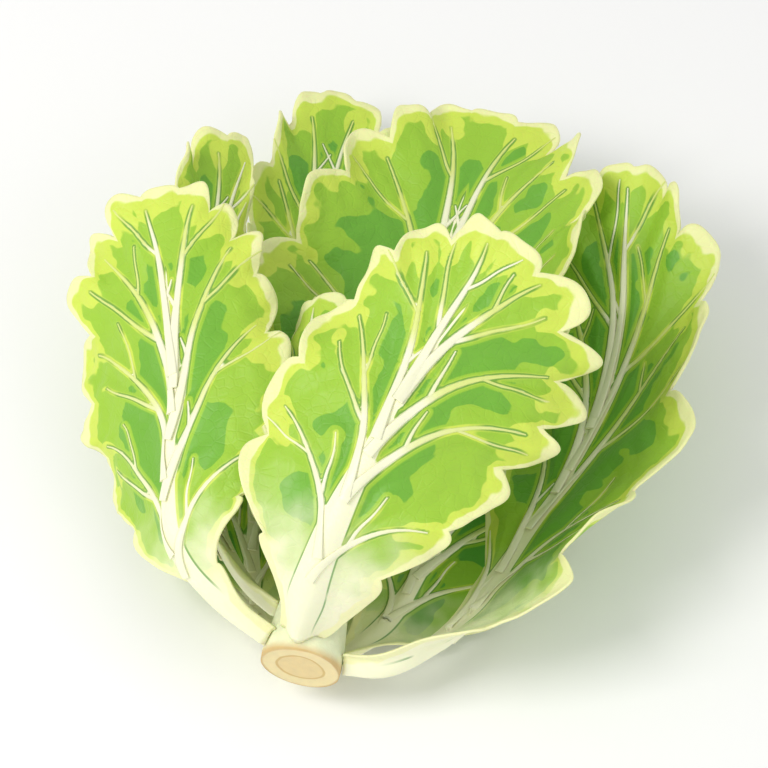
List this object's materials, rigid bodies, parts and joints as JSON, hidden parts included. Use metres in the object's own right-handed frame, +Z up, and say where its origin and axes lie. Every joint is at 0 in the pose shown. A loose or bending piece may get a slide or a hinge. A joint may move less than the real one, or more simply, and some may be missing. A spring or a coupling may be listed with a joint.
{
  "type": "lettuce",
  "caption": "Head of loose-leaf green lettuce lying on its side, with lobed, ruffled leaves spread round a cut stem.",
  "frame": {"origin": "centre of the bounding box, on the surface that the head lies on", "axes": "+Z up from the surface; the head's axis runs from the cut stem at -Y to the leaf tips at +Y, turned about 13 degrees towards +X and rising about 14 degrees"},
  "size_m": [0.2696, 0.2978, 0.1542],
  "materials": {
    "stem": "matt, moist cut",
    "bottom_leaf_centre": "satin, slightly waxy leaf",
    "bottom_leaf_left": "satin, slightly waxy leaf",
    "bottom_leaf_right": "satin, slightly waxy leaf",
    "front_leaf": "satin, slightly waxy leaf",
    "front_left_leaf": "satin, slightly waxy leaf",
    "left_leaf": "satin, slightly waxy leaf",
    "right_leaf": "satin, slightly waxy leaf",
    "back_leaf_left": "satin, slightly waxy leaf",
    "back_leaf_right": "satin, slightly waxy leaf",
    "inner_leaf_front": "satin, slightly waxy leaf",
    "inner_leaf_right": "satin, slightly waxy leaf",
    "inner_leaf_left": "satin, slightly waxy leaf",
    "heart_leaf_front": "satin, slightly waxy leaf",
    "heart_leaf_back": "satin, slightly waxy leaf"
  },
  "bodies": {
    "root": {"stem": "stem", "bottom_leaf_centre": "bottom_leaf_centre", "bottom_leaf_left": "bottom_leaf_left", "bottom_leaf_right": "bottom_leaf_right", "front_leaf": "front_leaf", "front_left_leaf": "front_left_leaf", "left_leaf": "left_leaf", "right_leaf": "right_leaf", "back_leaf_left": "back_leaf_left", "back_leaf_right": "back_leaf_right", "inner_leaf_front": "inner_leaf_front", "inner_leaf_right": "inner_leaf_right", "inner_leaf_left": "inner_leaf_left", "heart_leaf_front": "heart_leaf_front", "heart_leaf_back": "heart_leaf_back"}
  },
  "joints": []
}
